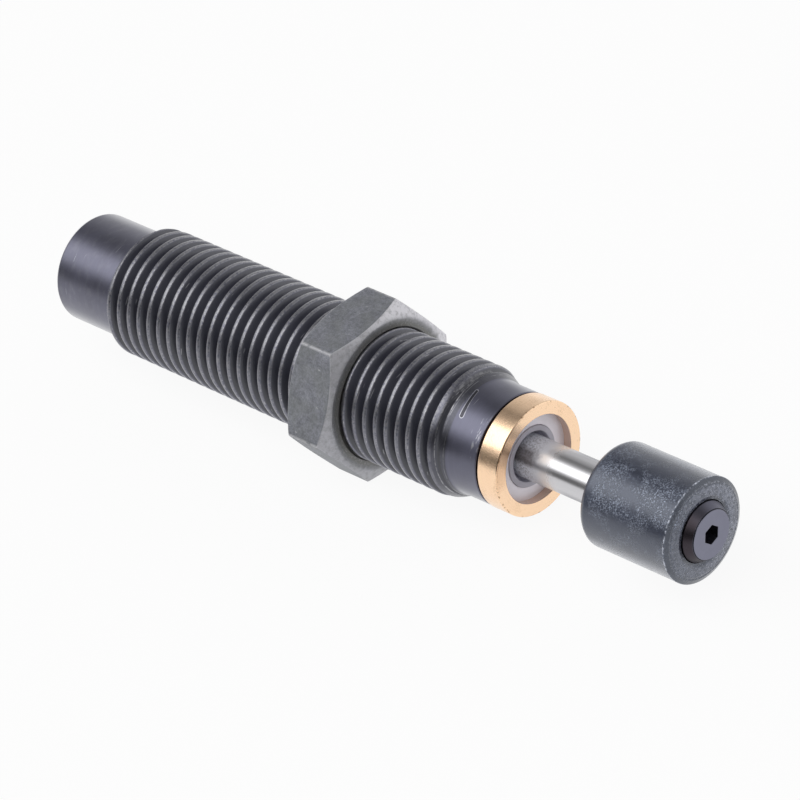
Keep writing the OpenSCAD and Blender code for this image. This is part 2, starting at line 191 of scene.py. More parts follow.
# Parts of the studio that differ from that: the way to each one, the cosines between which it
# sets in, and how many times as bright it is
STUDIO_SPOTS = [
    # dark opening in front of the bumper
    ((0.62, -0.72, -0.05), 0.36, 0.74, 0.20),
    # brightest wall
    ((0.60, 0.72, -0.32), 0.60, 0.90, 1.50),
]
# Softbox: its angle from the +Y side over the top, place and size in metres, and brightness
SOFTBOX_TURN = 120
SOFTBOX_DISTANCE = 0.75
SOFTBOX_X = -0.2
SOFTBOX_WIDTH = 0.56
SOFTBOX_LENGTH = 1.6
SOFTBOX_LEVEL = 1.20
# Floor: half its side in metres, its grey under the lights, and its white when seen or mirrored
FLOOR_HALF = 3.0
FLOOR_GREY = 0.88
FLOOR_WHITE = 0.92

# Camera of the photograph, fitted to the object: place in metres, ways, and lens in millimetres
CAMERA_SPOT = (0.28921, -0.22894, 0.30414)
CAMERA_RIGHT = (0.7121, 0.6667, -0.2200)
CAMERA_BACK = (0.6293, -0.4672, 0.6211)
CAMERA_LENS = 219.65


# ---------------------------------------------------------------------------------- meshes

AROUND = np.linspace(0, 2 * math.pi, 193)
AROUND_SMALL = np.linspace(0, 2 * math.pi, 97)


def rounded(corners, radius=0.1, steps=4, loop=True, support=0.03):
    """Corners [x, r] or [x, r, own radius] with each corner turned into an arc of that radius."""
    points = []
    count = len(corners)
    for i, corner in enumerate(corners):
        here = np.array(corner[:2], float)
        own = corner[2] if len(corner) > 2 else radius
        if own == 0 or (not loop and i in (0, count - 1)):
            points.append(here)
            continue
        before = np.array(corners[i - 1][:2], float) - here
        after = np.array(corners[(i + 1) % count][:2], float) - here
        len_before, len_after = np.linalg.norm(before), np.linalg.norm(after)
        before, after = before / len_before, after / len_after
        half = math.acos(max(-1, min(1, float(before @ after)))) / 2
        if half > math.radians(84):
            points.append(here)
            continue
        reach = min(own / math.tan(half), 0.4 * len_before, 0.4 * len_after)
        arc_r = reach * math.tan(half)
        bisector = (before + after) / np.linalg.norm(before + after)
        centre = here + bisector * (arc_r / math.sin(half))
        start, end = here + before * reach, here + after * reach
        if len_before - reach > 3 * support:
            points.append(start + before * support)
        for k in range(steps + 1):
            blend = start + (end - start) * k / steps - centre
            points.append(centre + blend / np.linalg.norm(blend) * arc_r)
        if len_after - reach > 3 * support:
            points.append(end + after * support)
    if loop:
        points.append(points[0])
    return points


def ring(x, r, around):
    """One ring round the X axis. Both x and r are single numbers, or change along the ring."""
    x = x * np.ones(len(around))
    return np.stack([x, r * np.cos(around), r * np.sin(around)], 1)


def lathe(points, around=AROUND):
    """Rings round the X axis, one for each [x, r] point."""
    return [ring(x, r, around) for x, r in points]


def finish_mesh(name, bands, body, material, stands_for):
    """One closed mesh from bands of rings. Bands that share an edge ring are welded there."""
    verts, faces = [], []
    for rings in bands:
        width = len(rings[0])
        base = sum(len(v) for v in verts)
        verts.append(np.concatenate(rings))
        for k in range(len(rings) - 1):
            a = base + k * width
            b = a + width
            faces += [(a + i, a + i + 1, b + i + 1, b + i) for i in range(width - 1)]
    mesh = bpy.data.meshes.new(name)
    mesh.from_pydata((np.concatenate(verts) * MM).tolist(), [], faces)
    clean_mesh(mesh)
    return add_piece(name, mesh, body, material, stands_for)


def clean_mesh(mesh):
    """Welds what coincides, turns all faces outwards and marks the sharp edges."""
    work = bmesh.new()
    work.from_mesh(mesh)
    bmesh.ops.remove_doubles(work, verts=work.verts, dist=WELD)
    bmesh.ops.dissolve_degenerate(work, edges=work.edges, dist=WELD)
    bmesh.ops.delete(work, geom=[v for v in work.verts if not v.link_faces], context="VERTS")
    bmesh.ops.recalc_face_normals(work, faces=work.faces)
    for face in work.faces:
        face.smooth = True
    for edge in work.edges:
        edge.smooth = not (edge.is_manifold and edge.calc_face_angle() > SHARP_ANGLE)
    work.to_mesh(mesh)
    work.free()


def add_piece(name, mesh, body, material, stands_for):
    """Puts a piece on its body, in the place of the CAD nodes that it stands for."""
    piece = bpy.data.objects.new(name, mesh)
    bpy.context.scene.collection.objects.link(piece)
    mesh.materials.append(material)
    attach(piece, body)
    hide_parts(*stands_for)
    return piece


# ---------------------------------------------------------------------------------- threads

def thread_radius(x, angle, play=0.0):
    """Radius of the thread's surface at x and angle; play is the clearance of a mating thread."""
    turns = (x - CREST_AT_ZERO) / PITCH - angle / (2 * math.pi)
    off_crest = np.abs(turns - np.round(turns)) * PITCH
    slope_down = (off_crest - CREST_HALF) * FLANK_SLOPE
    depth = np.clip(slope_down, 0, THREAD_DEPTH)
    crest_round = CREST_EASE[0] * np.exp(-((off_crest - CREST_HALF) / CREST_EASE[1]) ** 2)
    root_round = ROOT_EASE[0] * np.exp(-((THREAD_DEPTH - slope_down) / ROOT_EASE[1]) ** 2)
    return THREAD_R - depth - crest_round + root_round + play


# Places of the mesh lines across one turn of the thread, from a crest, in millimetres
PROFILE_LINES = [-0.18, -0.12, 0.12, 0.18, 0.22, 0.28, 0.40, 0.54, 0.64, 0.69,
                 0.75, 0.81, 0.86, 0.96, 1.10, 1.22, 1.28]


def thread_rings(x_back, x_front, envelope, around, play=0.0, outer=True):
    """Rings that follow the thread's own crest and root lines between two flat ends."""
    first = math.floor((x_back - CREST_AT_ZERO) / PITCH) - 2
    last = math.ceil((x_front - CREST_AT_ZERO) / PITCH) + 1
    limit = np.minimum if outer else np.maximum
    rings = []
    for turn in range(first, last + 1):
        for line in PROFILE_LINES:
            x = CREST_AT_ZERO + PITCH * (turn + around / (2 * math.pi)) + line
            x = np.clip(x, x_back, x_front)
            r = limit(thread_radius(x, around, play), envelope(x))
            rings.append(ring(x, r, around))
    return rings


def body_envelope(x):
    """Rear chamfer and front cone that the body's thread is cut away to."""
    chamfer = THREAD_R - THREAD_CHAMFER + (x - THREAD_BACK)
    cone = LAND_R + CONE_STEP + (THREAD_FRONT - x) * CONE_SLOPE
    return np.minimum(np.minimum(chamfer, cone), THREAD_R)


# ---------------------------------------------------------------------------------- materials

def put(tree, socket, value):
    """Links a socket to another one, or gives it a plain value."""
    if isinstance(value, bpy.types.NodeSocket):
        tree.links.new(value, socket)
    else:
        socket.default_value = value


def add_math(tree, operation, a, b=0.0, c=None):
    node = tree.nodes.new("ShaderNodeMath")
    node.operation = operation
    put(tree, node.inputs[0], a)
    put(tree, node.inputs[1], b)
    if c is not None:
        put(tree, node.inputs[2], c)
    return node.outputs[0]


def smooth_step(tree, value, low, high, out_low=0.0, out_high=1.0):
    """Goes from out_low to out_high as a value goes from low to high."""
    node = tree.nodes.new("ShaderNodeMapRange")
    node.interpolation_type = "SMOOTHSTEP"
    put(tree, node.inputs["Value"], value)
    node.inputs["From Min"].default_value = low
    node.inputs["From Max"].default_value = high
    node.inputs["To Min"].default_value = out_low
    node.inputs["To Max"].default_value = out_high
    return node.outputs["Result"]


class Paint:
    """Builds one procedural material. Coordinates are the object's own, in millimetres."""

    def __init__(self, name, color, metallic=0.0, roughness=0.4):
        self.mat = bpy.data.materials.new(name)
        self.mat.use_nodes = True
        self.tree = self.mat.node_tree
        self.bsdf = self.tree.nodes["Principled BSDF"]
        self.bsdf.inputs["Base Color"].default_value = (*color, 1)
        self.bsdf.inputs["Metallic"].default_value = metallic
        self.bsdf.inputs["Roughness"].default_value = roughness
        coords = self.tree.nodes.new("ShaderNodeTexCoord")
        scaled = self.tree.nodes.new("ShaderNodeVectorMath")
        scaled.operation = "SCALE"
        scaled.inputs["Scale"].default_value = 1 / MM
        self.tree.links.new(coords.outputs["Object"], scaled.inputs[0])
        self.place = scaled.outputs[0]
        split = self.tree.nodes.new("ShaderNodeSeparateXYZ")
        self.tree.links.new(self.place, split.inputs[0])
        self.x, self.y, self.z = split.outputs
        self.r = self.length(self.y, self.z)
        self.heights = []

    def put(self, socket, value):
        put(self.tree, socket, value)

    def math(self, operation, a, b=0.0):
        return add_math(self.tree, operation, a, b)

    def times(self, first, *others):
        """Product of sockets and numbers."""
        product = first
        for other in others:
            product = self.math("MULTIPLY", product, other)
        return product

    def length(self, a, b):
        """Length of a step of a one way and b square to it."""
        return self.math("SQRT", self.math("ADD", self.times(a, a), self.times(b, b)))

    def ramp(self, value, low, high, out_low=0.0, out_high=1.0):
        return smooth_step(self.tree, value, low, high, out_low, out_high)

    def band(self, value, low, high, soft):
        """One between low and high, and zero outside."""
        rise = self.ramp(value, low - soft, low + soft)
        fall = self.ramp(value, high - soft, high + soft, 1.0, 0.0)
        return self.times(rise, fall)

    def vector(self, x, y, z):
        node = self.tree.nodes.new("ShaderNodeCombineXYZ")
        self.put(node.inputs[0], x)
        self.put(node.inputs[1], y)
        self.put(node.inputs[2], z)
        return node.outputs[0]

    def around_axis(self, along, radial, turn, shift=0.0):
        """Stretched coordinates: features per millimetre along, across the radius and around."""
        unit_y = self.math("DIVIDE", self.y, self.math("MAXIMUM", self.r, 0.01))
        unit_z = self.math("DIVIDE", self.z, self.math("MAXIMUM", self.r, 0.01))
        mixed = self.math("ADD", self.times(self.x, along),
                          self.times(self.r, radial))
        return self.vector(self.math("ADD", mixed, shift), self.times(unit_y, turn),
                           self.times(unit_z, turn))

    def turn(self):
        """Angle round the rod's axis in degrees, 0 at +Y and 90 at the top, from -180 to 180."""
        return self.times(self.math("ARCTAN2", self.z, self.y), 180 / math.pi)

    def facing(self, low, high):
        """One where the surface is seen edge on, zero where it is seen square on."""
        node = self.tree.nodes.new("ShaderNodeLayerWeight")
        node.inputs["Blend"].default_value = 0.5
        return self.ramp(node.outputs["Facing"], low, high)

    def coat(self, weight, roughness, ior=1.5):
        self.bsdf.inputs["Coat Weight"].default_value = weight
        self.bsdf.inputs["Coat Roughness"].default_value = roughness
        self.bsdf.inputs["Coat IOR"].default_value = ior
        return self

    def noise(self, scale, detail=3.0, where=None, rough=0.55, low=0.0, high=1.0):
        node = self.tree.nodes.new("ShaderNodeTexNoise")
        self.put(node.inputs["Vector"], where if where is not None else self.place)
        node.inputs["Scale"].default_value = scale
        node.inputs["Detail"].default_value = detail
        node.inputs["Roughness"].default_value = rough
        if (low, high) == (0.0, 1.0):
            return node.outputs["Fac"]
        return self.ramp(node.outputs["Fac"], low, high)

    def specks(self, scale, size):
        """Small round dots, one here and there."""
        node = self.tree.nodes.new("ShaderNodeTexVoronoi")
        self.put(node.inputs["Vector"], self.place)
        node.inputs["Scale"].default_value = scale
        return self.ramp(node.outputs["Distance"], size, size * 1.8, 1.0, 0.0)

    def over_base(self, kind, mask, over):
        """Mixes something with what the base colour is so far."""
        socket = self.bsdf.inputs["Base Color"]
        node = self.tree.nodes.new("ShaderNodeMix")
        node.data_type = "RGBA"
        node.blend_type = kind
        self.put(node.inputs["Factor"], mask)
        if socket.is_linked:
            self.tree.links.new(socket.links[0].from_socket, node.inputs["A"])
        else:
            node.inputs["A"].default_value = socket.default_value
        self.put(node.inputs["B"], over)
        self.tree.links.new(node.outputs["Result"], socket)
        return self

    def blend(self, mask, over):
        """Mixes a colour over the base colour by a mask."""
        return self.over_base("MIX", mask, (*over, 1))

    def tint(self, value, amount):
        """Makes the base colour lighter and darker by a value round one half."""
        grey = self.math("ADD", self.times(value, 2 * amount), 1 - amount)
        return self.over_base("MULTIPLY", 1.0, self.vector(grey, grey, grey))

    def vary(self, name, value, low, high):
        """Gives a shader input low to high as a value goes from zero to one."""
        node = self.tree.nodes.new("ShaderNodeMapRange")
        self.put(node.inputs["Value"], value)
        node.inputs["To Min"].default_value = low
        node.inputs["To Max"].default_value = high
        self.tree.links.new(node.outputs["Result"], self.bsdf.inputs[name])
        return self

    def rough(self, value, low, high):
        return self.vary("Roughness", value, low, high)

    def metal(self, value, low, high):
        return self.vary("Metallic", value, low, high)

    def bump(self, value, depth):
        """Adds relief of that depth in millimetres."""
        self.heights.append(self.times(value, depth))
        return self

    def done(self):
        if self.heights:
            total = self.heights[0]
            for height in self.heights[1:]:
                total = self.math("ADD", total, height)
            node = self.tree.nodes.new("ShaderNodeBump")
            node.inputs["Strength"].default_value = 1.0
            node.inputs["Distance"].default_value = MM
            self.tree.links.new(total, node.inputs["Height"])
            self.tree.links.new(node.outputs["Normal"], self.bsdf.inputs["Normal"])
        return self.mat


def paint_thread(p):
    """Painted shade in the grooves, worn crests with a painted highlight on their upper side, and the
    cone's run-out, darker, with painted highlights along its cut crests. Returns their masks for relief.
    """
    in_thread = p.band(p.x, THREAD_BACK + RIM_WIDTH, THREAD_FRONT, 0.05)
    to_front = p.times(p.math("SUBTRACT", THREAD_FRONT, p.x), CONE_SLOPE)
    top = p.math("MINIMUM", p.math("ADD", to_front, LAND_R + CONE_STEP), THREAD_R)
    below = p.math("SUBTRACT", top, p.r)
    groove = p.times(in_thread, p.ramp(below, 0.03, 0.24))
    # Painted shade in the thread's grooves, strongest on the lower side and weaker towards the top.
    p.blend(p.times(groove, p.ramp(p.z, 1.5, 6.5, 0.95, 0.75)), (0.028, 0.030, 0.043))
    crest = p.times(in_thread, p.ramp(below, 0.05, 0.17, 1.0, 0.0))
    full_and_lit = p.ramp(top, THREAD_R - 0.30, THREAD_R - 0.05, 0.12, 1.0)
    # Painted highlight: the worn crests are painted fuller on the upper side and fainter towards the
    # bottom.
    full_and_lit = p.times(full_and_lit, p.ramp(p.z, -3.0, 6.0, 0.35, 1.0))
    on_cone = p.times(in_thread, p.ramp(top, THREAD_R - 0.35, THREAD_R - 0.10, 1.0, 0.0))
    p.blend(p.times(on_cone, 0.80), (0.046, 0.047, 0.062))
    arc = p.noise(1.0, 2.0, p.around_axis(5.0, 0.5, 0.7), low=0.54, high=0.62)
    arc = p.times(arc, on_cone, p.noise(1.5, 3.0, low=0.35, high=0.60))
    p.blend(p.times(arc, 0.6), (0.33, 0.33, 0.35))
    # Worn crests: partly real wear, partly the painted highlight above.
    worn_and_highlit = p.times(crest, full_and_lit, p.noise(4.0, 5.0, low=0.26, high=0.60))
    p.blend(p.times(worn_and_highlit, 0.85), (0.290, 0.290, 0.308))
    edge = p.times(in_thread, p.band(below, 0.015, 0.06, 0.015))
    nick = p.times(edge, p.noise(3.0, 4.0, low=0.54, high=0.66))
    p.blend(p.times(nick, 0.7), (0.50, 0.50, 0.52))
    # Painted highlights: pale lines along the edges of the cut-off crests on the cone.
    run_out = p.times(edge, p.ramp(top, THREAD_R - 0.55, THREAD_R - 0.15, 1.0, 0.0))
    p.blend(p.times(run_out, p.noise(2.0, 4.0, low=0.35, high=0.60)), (0.34, 0.34, 0.36))
    return in_thread, groove, worn_and_highlit


def paint_scar(p):
    """The closed mark on the land, a shallow pit inside bright lips. Returns the pit's mask."""
    share = p.math("DIVIDE", p.math("SUBTRACT", p.turn(), SCAR_TURN[0]), SCAR_TURN[1] - SCAR_TURN[0])
    middle = p.math("ADD", p.times(share, SCAR_X[1] - SCAR_X[0]), SCAR_X[0])
    across = p.times(p.math("SUBTRACT", p.x, middle), p.ramp(share, 0.0, 1.0, 1.7, 1.0))
    half_len = math.radians(SCAR_TURN[1] - SCAR_TURN[0]) * LAND_R / 2
    along = p.times(p.math("ABSOLUTE", p.math("SUBTRACT", share, 0.5)), 2 * half_len)
    beyond = p.math("MAXIMUM", p.math("SUBTRACT", along, half_len - SCAR_HALF), 0.0)
    off = p.length(across, beyond)
    pit = p.ramp(off, SCAR_HALF - 0.14, SCAR_HALF - 0.06, 1.0, 0.0)
    lips = p.times(p.band(off, SCAR_HALF - 0.08, SCAR_HALF, 0.03), p.noise(1.6, 3.0, low=0.25, high=0.50))
    p.blend(p.times(pit, 0.85), (0.026, 0.026, 0.034))
    p.blend(p.times(lips, 0.9), (0.52, 0.52, 0.58))
    return pit


def black_oxide():
    """Oiled blue-black steel with painted shade in the thread's grooves, crests worn grey with a painted
    highlight, and a painted sheen on the plain parts where they are seen edge on.
    """
    p = Paint("black_oxide_steel", (0.106, 0.107, 0.154), 1.0, 0.34)
    p.coat(0.75, 0.30, 1.6)
    cloud = p.noise(0.35, 5.0)
    turning = p.noise(1.0, 4.0, p.around_axis(7.0, 7.0, 1.2))
    grain = p.noise(9.0, 2.0)
    p.tint(cloud, 0.30)
    p.tint(turning, 0.12)
    wiped = p.noise(1.0, 4.0, p.around_axis(1.6, 1.0, 5.0), low=0.48, high=0.70)
    stain = p.times(wiped, p.ramp(p.x, THREAD_BACK - 0.5, THREAD_BACK, 1.0, 0.0))
    p.blend(p.times(stain, 0.30), (0.185, 0.185, 0.225))
    in_thread, groove, worn_and_highlit = paint_thread(p)
    streaks = p.noise(1.0, 1.0, p.around_axis(9.0, 1.0, 2.2, 3.0), low=0.70, high=0.74)
    scratch = p.times(streaks, p.noise(0.4, 2.0, low=0.52, high=0.62))
    p.blend(p.times(scratch, 0.5), (0.55, 0.55, 0.58))
    near_rim = p.band(p.x, LAND_FRONT - 0.9, LAND_FRONT - 0.05, 0.1)
    scuffs = p.noise(1.0, 3.0, p.around_axis(6.0, 1.0, 7.0), low=0.56, high=0.64)
    p.blend(p.times(near_rim, p.band(p.turn(), 112.0, 150.0, 8.0), scuffs, 0.8), (0.42, 0.42, 0.46))
    # Painted shade in the gap before the collar, tinted brown as a painted reflection of the gold.
    gap = p.times(p.ramp(p.x, LAND_FRONT - 0.02, LAND_FRONT + 0.02), 0.7)
    p.blend(gap, (0.045, 0.028, 0.018))
    pit = paint_scar(p)
    p.rough(cloud, 0.30, 0.44)
    plain = p.math("SUBTRACT", 1.0, in_thread)
    # Painted sheen: the plain parts are painted paler where they are seen edge on.
    p.blend(p.times(p.facing(0.60, 0.92), p.times(plain, 0.7)), (0.46, 0.46, 0.50))
    p.metal(groove, 1.0, 0.32)
    p.bump(turning, 0.003).bump(grain, 0.002).bump(worn_and_highlit, 0.010).bump(pit, -0.05)
    return p.done()


def nut_steel():
    """Mottled blue-grey steel, an olive-brown grainy ring round the thread, pale worn chamfers that are
    painted paler towards +Y as painted light.
    """
    p = Paint("nut_steel", (0.270, 0.278, 0.314), 0.62, 0.50)
    mottle = p.noise(0.9, 7.0, rough=0.65)
    grain = p.noise(6.0, 3.0)
    blotch = p.noise(0.45, 3.0, low=0.35, high=0.65)
    p.tint(p.ramp(mottle, 0.3, 0.7), 0.20)
    p.tint(p.noise(2.6, 5.0, rough=0.7, low=0.32, high=0.68), 0.18)
    p.tint(p.ramp(grain, 0.3, 0.7), 0.14)
    p.blend(p.times(blotch, 0.45), (0.190, 0.200, 0.190))
    to_front = p.math("SUBTRACT", NUT_FRONT, p.x)
    to_back = p.math("SUBTRACT", p.x, NUT_BACK)
    to_face = p.math("MINIMUM", to_front, to_back)
    sunk = p.times(p.math("SUBTRACT", p.r, NUT_FACE_R), NUT_CHAMFER_SLOPE)
    below = p.math("SUBTRACT", to_face, p.math("MAXIMUM", sunk, 0.0))
    on_end = p.ramp(below, 0.03, 0.08, 1.0, 0.0)
    arcs = p.noise(1.0, 3.0, p.around_axis(3.0, 5.5, 1.5))
    worn = p.math("ADD", p.r, p.times(p.noise(1.8, 5.0), 0.6))
    pale = p.times(on_end, p.ramp(worn, NUT_FACE_R - 0.35, NUT_FACE_R + 0.75))
    # Painted light: the pale chamfers are painted fuller towards +Y and fainter towards -Y.
    pale = p.times(pale, p.ramp(p.y, -7.0, 5.0, 0.45, 1.0))
    p.blend(p.times(pale, 0.95), (0.80, 0.79, 0.83))
    dull = p.times(on_end, p.noise(1.7, 6.0, rough=0.68, low=0.46, high=0.66))
    p.blend(p.times(dull, 0.50), (0.27, 0.27, 0.28))
    olive = p.times(on_end, p.ramp(worn, NUT_FACE_R - 0.45, NUT_FACE_R + 0.40, 1.0, 0.0))
    p.blend(p.times(olive, p.ramp(arcs, 0.3, 0.7, 0.45, 0.85)), (0.245, 0.242, 0.220))
    speck = p.times(on_end, p.noise(5.0, 3.0, low=0.56, high=0.66))
    p.blend(p.times(speck, olive, 0.8), (0.42, 0.41, 0.42))
    edge_r = NUT_FLAT_R / math.cos(math.radians(30)) - NUT_CORNER_ROUND * 0.155
    corner = p.times(p.ramp(p.r, edge_r - 0.10, edge_r - 0.03), p.noise(1.2, 3.0, low=0.3, high=0.5))
    p.blend(p.times(corner, 0.7), (0.55, 0.55, 0.57))
    sink = p.ramp(p.r, NUT_SINK_R - 0.05, NUT_SINK_R + 0.12, 1.0, 0.0)
    p.blend(p.times(sink, 0.6), (0.260, 0.250, 0.230))
    nicks = p.noise(1.3, 6.0, low=0.69, high=0.73)
    p.blend(p.times(nicks, 0.6), (0.6, 0.6, 0.6))
    p.rough(mottle, 0.44, 0.60)
    p.bump(mottle, 0.020).bump(grain, 0.004).bump(p.times(arcs, on_end), 0.012)
    return p.done()


def gold():
    """Turned peach-gold ring with grainy worn patches, a nicked rim and painted shade on the inner wall of
    its hole.
    """
    p = Paint("gold_collar", (1.000, 0.710, 0.480), 1.0, 0.18)
    lines = p.noise(1.0, 4.0, p.around_axis(8.0, 8.0, 1.5))
    patch = p.noise(0.55, 3.0, low=0.50, high=0.68)
    grain = p.noise(7.0, 3.0, low=0.42, high=0.62)
    p.tint(lines, 0.05)
    p.blend(p.times(patch, grain, 0.30), (0.50, 0.30, 0.16))
    rim = p.times(p.band(p.r, COLLAR_R - 0.16, COLLAR_R - 0.02, 0.03), p.ramp(p.x, -0.2, -0.1))
    nicks = p.noise(2.2, 4.0, low=0.55, high=0.62)
    p.blend(p.times(rim, nicks, 0.8), (0.25, 0.14, 0.07))
    rub = p.times(p.band(p.r, COLLAR_R - 0.9, COLLAR_R - 0.25, 0.2), p.noise(2.6, 5.0, low=0.62, high=0.72))
    p.blend(p.times(rub, 0.55), (0.33, 0.20, 0.11))
    inside = p.ramp(p.r, COLLAR_HOLE_R + 0.01, COLLAR_HOLE_R + 0.06, 1.0, 0.0)
    # Painted shade: the inner wall of the hole is painted darker and duller.
    p.blend(p.times(inside, 0.7), (0.48, 0.36, 0.32))
    on_face = p.times(p.ramp(p.x, -0.10, -0.03), p.band(p.turn(), 120.0, 172.0, 16.0))
    p.blend(p.times(on_face, 0.5), (0.66, 0.39, 0.22))
    p.rough(grain, 0.19, 0.27)
    p.bump(lines, 0.003).bump(grain, 0.0015)
    return p.done()


def disc_steel():
    """Light lilac-grey disc, satin and slightly clouded."""
    p = Paint("disc_steel", (0.93, 0.89, 0.95), 0.35, 0.42)
    cloud = p.noise(0.7, 4.0)
    lines = p.noise(1.0, 3.0, p.around_axis(4.0, 6.0, 1.5))
    p.tint(cloud, 0.10).tint(lines, 0.04)
    p.blend(p.times(p.noise(1.5, 5.0, low=0.70, high=0.74), 0.7), (0.85, 0.83, 0.85))
    p.rough(cloud, 0.42, 0.54)
    p.bump(lines, 0.0015)
    return p.done()


def turned_metal(name, color, roughness, line_depth=0.003, cloudiness=0.10):
    """Plain turned or ground metal with fine rings and slight clouding."""
    p = Paint(name, color, 1.0, roughness)
    lines = p.noise(1.0, 3.0, p.around_axis(7.0, 7.0, 1.5))
    cloud = p.noise(0.6, 4.0)
    p.tint(lines, 0.08).tint(cloud, cloudiness)
    p.rough(cloud, roughness - 0.05, roughness + 0.07)
    p.bump(lines, line_depth)
    return p.done()


def chrome():
    """Hard chrome with fine lines along the rod and a frosted grey end at the wiper, with a painted
    highlight and painted dark reflections on that end, and a painted dark rim where the rod is seen edge
    on.
    """
    p = Paint("hard_chrome", (0.600, 0.595, 0.615), 1.0, 0.20)
    across = p.vector(p.times(p.x, 0.25), p.times(p.y, 5.0), p.times(p.z, 5.0))
    streaks = p.noise(1.0, 3.0, across)
    p.tint(streaks, 0.05)
    # Painted dark reflection along the rod's outline, where it is seen edge on, away from the wiper.
    rim = p.times(p.facing(0.50, 0.88), p.ramp(p.x, 3.0, 6.0))
    p.blend(p.times(rim, 0.80), (0.10, 0.105, 0.13))
    ragged = p.math("ADD", p.x, p.times(p.noise(2.2, 4.0), 1.3))
    frost = p.ramp(ragged, 2.2, 5.0, 1.0, 0.0)
    p.blend(p.times(frost, 0.90), (0.70, 0.725, 0.80))
    # Painted highlight: the frosted end is painted near white in the band under the softbox.
    painted_highlight = p.times(p.band(p.turn(), 107.0, 136.0, 9.0), p.ramp(ragged, 1.7, 3.3))
    p.blend(p.times(frost, painted_highlight, 0.95), (1.0, 0.98, 0.97))
    grains = p.times(p.ramp(ragged, 0.8, 2.6, 1.0, 0.0), p.noise(5.0, 4.0, low=0.46, high=0.60))
    p.blend(p.times(grains, 0.5), (0.13, 0.12, 0.125))
    # Painted reflection of the collar's shaded inner wall: a dark brownish patch on the rod by the wiper,
    # between 112 and 152 degrees.
    dark_reflection_by_wiper = p.times(p.ramp(ragged, 0.9, 2.9, 1.0, 0.0), p.band(p.turn(), 112.0, 152.0, 12.0))
    p.blend(p.times(dark_reflection_by_wiper, 0.75), (0.085, 0.070, 0.072))
    # Painted dark reflection: a dark line that carries on from that patch along the rod, between 140 and
    # 152 degrees.
    dark_reflection_line = p.times(p.ramp(ragged, 2.4, 5.0, 1.0, 0.0), p.band(p.turn(), 140.0, 152.0, 7.0))
    p.blend(p.times(dark_reflection_line, 0.65), (0.10, 0.088, 0.095))
    p.rough(frost, 0.21, 0.36)
    p.metal(frost, 1.0, 0.28)
    p.bump(streaks, 0.0008).bump(p.times(frost, p.noise(7.0, 3.0)), 0.006)
    return p.done()


def rubber(name, color, roughness=0.45, grain_depth=0.010):
    """Moulded rubber with a fine skin grain."""
    p = Paint(name, color, 0.0, roughness)
    grain = p.noise(5.0, 4.0, rough=0.6)
    cloud = p.noise(0.5, 4.0)
    p.tint(cloud, 0.20)
    p.rough(cloud, roughness - 0.06, roughness + 0.08)
    p.bump(grain, grain_depth)
    return p.done()


def paint_bumper_front(p):
    """Dark chamfer, speckled ring and fine specks painted paler towards +Y as painted light, lip and gate
    mark. Returns the masks of speckle and gate.
    """
    at_front = p.ramp(p.x, BUMPER_FRONT - 0.22, BUMPER_FRONT - 0.10)
    chamfer = p.band(p.r, BUMPER_R - 0.50, BUMPER_R - 0.08, 0.05)
    p.blend(p.times(chamfer, p.ramp(p.x, FLASH_X, FLASH_X + 0.1), 0.7), (0.010, 0.012, 0.020))
    ring = p.times(p.band(p.r, BUMPER_MOUTH_R + 0.30, BUMPER_R - 0.75, 0.12), at_front)
    # Painted light: the ring and the fine specks are painted fuller towards +Y and fainter towards -Y.
    to_right = p.ramp(p.y, -4.0, 4.0, 0.45, 1.0)
    ring = p.times(ring, to_right)
    p.blend(p.times(ring, p.noise(2.4, 5.0, low=0.35, high=0.65)), (0.200, 0.212, 0.275))
    fine = p.times(at_front, p.noise(4.5, 3.0, low=0.53, high=0.61))
    p.blend(p.times(fine, to_right, 0.8), (0.40, 0.42, 0.50))
    lip = p.band(p.r, BUMPER_MOUTH_R - 0.05, BUMPER_MOUTH_R + 0.14, 0.04)
    p.blend(p.times(lip, p.noise(2.2, 4.0, low=0.46, high=0.56), 0.9), (0.006, 0.006, 0.008))
    aside = p.math("SUBTRACT", p.y, GATE_R * math.cos(math.radians(GATE_TURN)))
    above = p.math("SUBTRACT", p.z, GATE_R * math.sin(math.radians(GATE_TURN)))
    gate = p.times(p.band(p.length(aside, above), GATE_SPAN - 0.05, GATE_SPAN + 0.02, 0.03), at_front)
    p.blend(p.times(gate, 0.8), (0.38, 0.40, 0.44))
    return fine, gate


